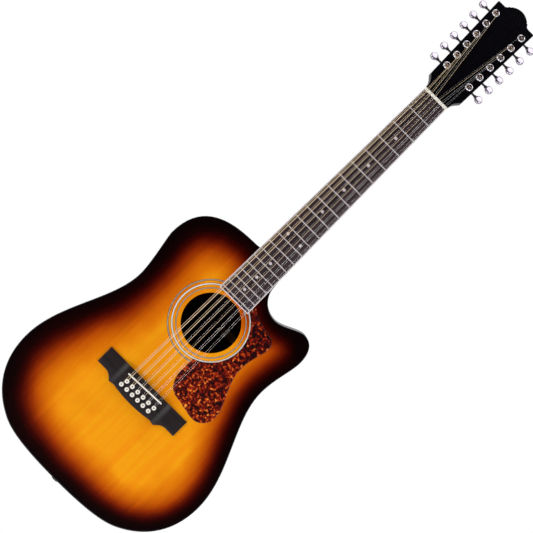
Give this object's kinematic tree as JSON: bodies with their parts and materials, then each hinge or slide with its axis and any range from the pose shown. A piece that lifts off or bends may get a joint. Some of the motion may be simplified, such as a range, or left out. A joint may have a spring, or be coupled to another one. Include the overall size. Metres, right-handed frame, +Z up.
{
  "type": "twelve-string acoustic guitar",
  "caption": "Steel-strung acoustic guitar with paired strings, a rounded cutaway, a round soundhole and geared tuners on a tilted headstock.",
  "frame": {"origin": "centre of the end pin's outer flat face, at the tail of the body", "axes": "+Z up the neck toward the headstock, -Y out of the soundboard toward the player's audience, +X toward the treble side with the cutaway"},
  "size_m": [0.3876, 0.135, 1.067],
  "materials": {
    "spruce_top": "gloss lacquer sunburst: amber centre, orange, then dark red to black at the edge",
    "sunburst_wood": "gloss dark brown-red lacquer",
    "inner_wood": "bare, unfinished",
    "neck_wood": "gloss dark brown lacquer",
    "dark_rosewood": "oiled, open grain",
    "black_plastic": "polished",
    "white_plastic": "satin",
    "tortoiseshell": "polished, red-brown with amber flecks",
    "bone": "satin",
    "chrome": "mirror",
    "steel": "satin",
    "string_bronze": "bright drawn wire"
  },
  "bodies": {
    "guitar": {"soundboard": "spruce_top", "back": "sunburst_wood", "sides": "sunburst_wood", "neck_block": "inner_wood", "tail_block": "inner_wood", "top_lining": "inner_wood", "back_lining": "inner_wood", "x_brace": "inner_wood", "transverse_brace": "inner_wood", "bridge_plate": "inner_wood", "back_bracing": "inner_wood", "binding_top": "black_plastic", "binding_back": "black_plastic", "pickguard": "tortoiseshell", "bridge": "dark_rosewood", "saddle": "bone", "end_pin": "black_plastic", "neck": "neck_wood", "truss_rod": "steel", "fretboard": "dark_rosewood", "fretboard_binding": "white_plastic", "nut": "bone", "headstock_veneer": "black_plastic", "strings": "string_bronze", "tuner_housing_bass_1": "chrome", "tuner_housing_bass_2": "chrome", "tuner_housing_bass_3": "chrome", "tuner_housing_bass_4": "chrome", "tuner_housing_bass_5": "chrome", "tuner_housing_bass_6": "chrome", "tuner_housing_treble_1": "chrome", "tuner_housing_treble_2": "chrome", "tuner_housing_treble_3": "chrome", "tuner_housing_treble_4": "chrome", "tuner_housing_treble_5": "chrome", "tuner_housing_treble_6": "chrome"},
    "button_bass_1": {"tuner_button_bass_1": "chrome"},
    "post_bass_1": {"tuner_post_bass_1": "chrome"},
    "button_bass_2": {"tuner_button_bass_2": "chrome"},
    "post_bass_2": {"tuner_post_bass_2": "chrome"},
    "button_bass_3": {"tuner_button_bass_3": "chrome"},
    "post_bass_3": {"tuner_post_bass_3": "chrome"},
    "button_bass_4": {"tuner_button_bass_4": "chrome"},
    "post_bass_4": {"tuner_post_bass_4": "chrome"},
    "button_bass_5": {"tuner_button_bass_5": "chrome"},
    "post_bass_5": {"tuner_post_bass_5": "chrome"},
    "button_bass_6": {"tuner_button_bass_6": "chrome"},
    "post_bass_6": {"tuner_post_bass_6": "chrome"},
    "button_treble_1": {"tuner_button_treble_1": "chrome"},
    "post_treble_1": {"tuner_post_treble_1": "chrome"},
    "button_treble_2": {"tuner_button_treble_2": "chrome"},
    "post_treble_2": {"tuner_post_treble_2": "chrome"},
    "button_treble_3": {"tuner_button_treble_3": "chrome"},
    "post_treble_3": {"tuner_post_treble_3": "chrome"},
    "button_treble_4": {"tuner_button_treble_4": "chrome"},
    "post_treble_4": {"tuner_post_treble_4": "chrome"},
    "button_treble_5": {"tuner_button_treble_5": "chrome"},
    "post_treble_5": {"tuner_post_treble_5": "chrome"},
    "button_treble_6": {"tuner_button_treble_6": "chrome"},
    "post_treble_6": {"tuner_post_treble_6": "chrome"}
  },
  "joints": [
    {"name": "turn_button_bass_1", "type": "hinge", "parent": "guitar", "child": "button_bass_1", "pos_m": [-0.03477, -0.02874, 0.91529], "axis": [-1, 0, 0], "continuous": true},
    {"name": "turn_post_bass_1", "type": "hinge", "parent": "guitar", "child": "post_bass_1", "pos_m": [-0.02477, -0.04984, 0.91503], "axis": [0, 0.9744, -0.225], "continuous": true},
    {"name": "turn_button_bass_2", "type": "hinge", "parent": "guitar", "child": "button_bass_2", "pos_m": [-0.03556, -0.02328, 0.93897], "axis": [-1, 0, 0], "continuous": true},
    {"name": "turn_post_bass_2", "type": "hinge", "parent": "guitar", "child": "post_bass_2", "pos_m": [-0.02556, -0.04438, 0.93871], "axis": [0, 0.9744, -0.225], "continuous": true},
    {"name": "turn_button_bass_3", "type": "hinge", "parent": "guitar", "child": "button_bass_3", "pos_m": [-0.03634, -0.01781, 0.96264], "axis": [-1, 0, 0], "continuous": true},
    {"name": "turn_post_bass_3", "type": "hinge", "parent": "guitar", "child": "post_bass_3", "pos_m": [-0.02634, -0.03891, 0.96238], "axis": [0, 0.9744, -0.225], "continuous": true},
    {"name": "turn_button_bass_4", "type": "hinge", "parent": "guitar", "child": "button_bass_4", "pos_m": [-0.03713, -0.01234, 0.98632], "axis": [-1, 0, 0], "continuous": true},
    {"name": "turn_post_bass_4", "type": "hinge", "parent": "guitar", "child": "post_bass_4", "pos_m": [-0.02713, -0.03344, 0.98606], "axis": [0, 0.9744, -0.225], "continuous": true},
    {"name": "turn_button_bass_5", "type": "hinge", "parent": "guitar", "child": "button_bass_5", "pos_m": [-0.03792, -0.00688, 1.01], "axis": [-1, 0, 0], "continuous": true},
    {"name": "turn_post_bass_5", "type": "hinge", "parent": "guitar", "child": "post_bass_5", "pos_m": [-0.02792, -0.02798, 1.00974], "axis": [0, 0.9744, -0.225], "continuous": true},
    {"name": "turn_button_bass_6", "type": "hinge", "parent": "guitar", "child": "button_bass_6", "pos_m": [-0.0387, -0.00141, 1.03367], "axis": [-1, 0, 0], "continuous": true},
    {"name": "turn_post_bass_6", "type": "hinge", "parent": "guitar", "child": "post_bass_6", "pos_m": [-0.0287, -0.02251, 1.03341], "axis": [0, 0.9744, -0.225], "continuous": true},
    {"name": "turn_button_treble_1", "type": "hinge", "parent": "guitar", "child": "button_treble_1", "pos_m": [0.03477, -0.02874, 0.91529], "axis": [1, 0, 0], "continuous": true},
    {"name": "turn_post_treble_1", "type": "hinge", "parent": "guitar", "child": "post_treble_1", "pos_m": [0.02477, -0.04984, 0.91503], "axis": [0, 0.9744, -0.225], "continuous": true},
    {"name": "turn_button_treble_2", "type": "hinge", "parent": "guitar", "child": "button_treble_2", "pos_m": [0.03556, -0.02328, 0.93897], "axis": [1, 0, 0], "continuous": true},
    {"name": "turn_post_treble_2", "type": "hinge", "parent": "guitar", "child": "post_treble_2", "pos_m": [0.02556, -0.04438, 0.93871], "axis": [0, 0.9744, -0.225], "continuous": true},
    {"name": "turn_button_treble_3", "type": "hinge", "parent": "guitar", "child": "button_treble_3", "pos_m": [0.03634, -0.01781, 0.96264], "axis": [1, 0, 0], "continuous": true},
    {"name": "turn_post_treble_3", "type": "hinge", "parent": "guitar", "child": "post_treble_3", "pos_m": [0.02634, -0.03891, 0.96238], "axis": [0, 0.9744, -0.225], "continuous": true},
    {"name": "turn_button_treble_4", "type": "hinge", "parent": "guitar", "child": "button_treble_4", "pos_m": [0.03713, -0.01234, 0.98632], "axis": [1, 0, 0], "continuous": true},
    {"name": "turn_post_treble_4", "type": "hinge", "parent": "guitar", "child": "post_treble_4", "pos_m": [0.02713, -0.03344, 0.98606], "axis": [0, 0.9744, -0.225], "continuous": true},
    {"name": "turn_button_treble_5", "type": "hinge", "parent": "guitar", "child": "button_treble_5", "pos_m": [0.03792, -0.00688, 1.01], "axis": [1, 0, 0], "continuous": true},
    {"name": "turn_post_treble_5", "type": "hinge", "parent": "guitar", "child": "post_treble_5", "pos_m": [0.02792, -0.02798, 1.00974], "axis": [0, 0.9744, -0.225], "continuous": true},
    {"name": "turn_button_treble_6", "type": "hinge", "parent": "guitar", "child": "button_treble_6", "pos_m": [0.0387, -0.00141, 1.03367], "axis": [1, 0, 0], "continuous": true},
    {"name": "turn_post_treble_6", "type": "hinge", "parent": "guitar", "child": "post_treble_6", "pos_m": [0.0287, -0.02251, 1.03341], "axis": [0, 0.9744, -0.225], "continuous": true}
  ],
  "couplings": [
    {"joint": "turn_post_bass_1", "follows": "turn_button_bass_1", "ratio": -0.055556},
    {"joint": "turn_post_bass_2", "follows": "turn_button_bass_2", "ratio": -0.055556},
    {"joint": "turn_post_bass_3", "follows": "turn_button_bass_3", "ratio": -0.055556},
    {"joint": "turn_post_bass_4", "follows": "turn_button_bass_4", "ratio": -0.055556},
    {"joint": "turn_post_bass_5", "follows": "turn_button_bass_5", "ratio": -0.055556},
    {"joint": "turn_post_bass_6", "follows": "turn_button_bass_6", "ratio": -0.055556},
    {"joint": "turn_post_treble_1", "follows": "turn_button_treble_1", "ratio": 0.055556},
    {"joint": "turn_post_treble_2", "follows": "turn_button_treble_2", "ratio": 0.055556},
    {"joint": "turn_post_treble_3", "follows": "turn_button_treble_3", "ratio": 0.055556},
    {"joint": "turn_post_treble_4", "follows": "turn_button_treble_4", "ratio": 0.055556},
    {"joint": "turn_post_treble_5", "follows": "turn_button_treble_5", "ratio": 0.055556},
    {"joint": "turn_post_treble_6", "follows": "turn_button_treble_6", "ratio": 0.055556}
  ]
}
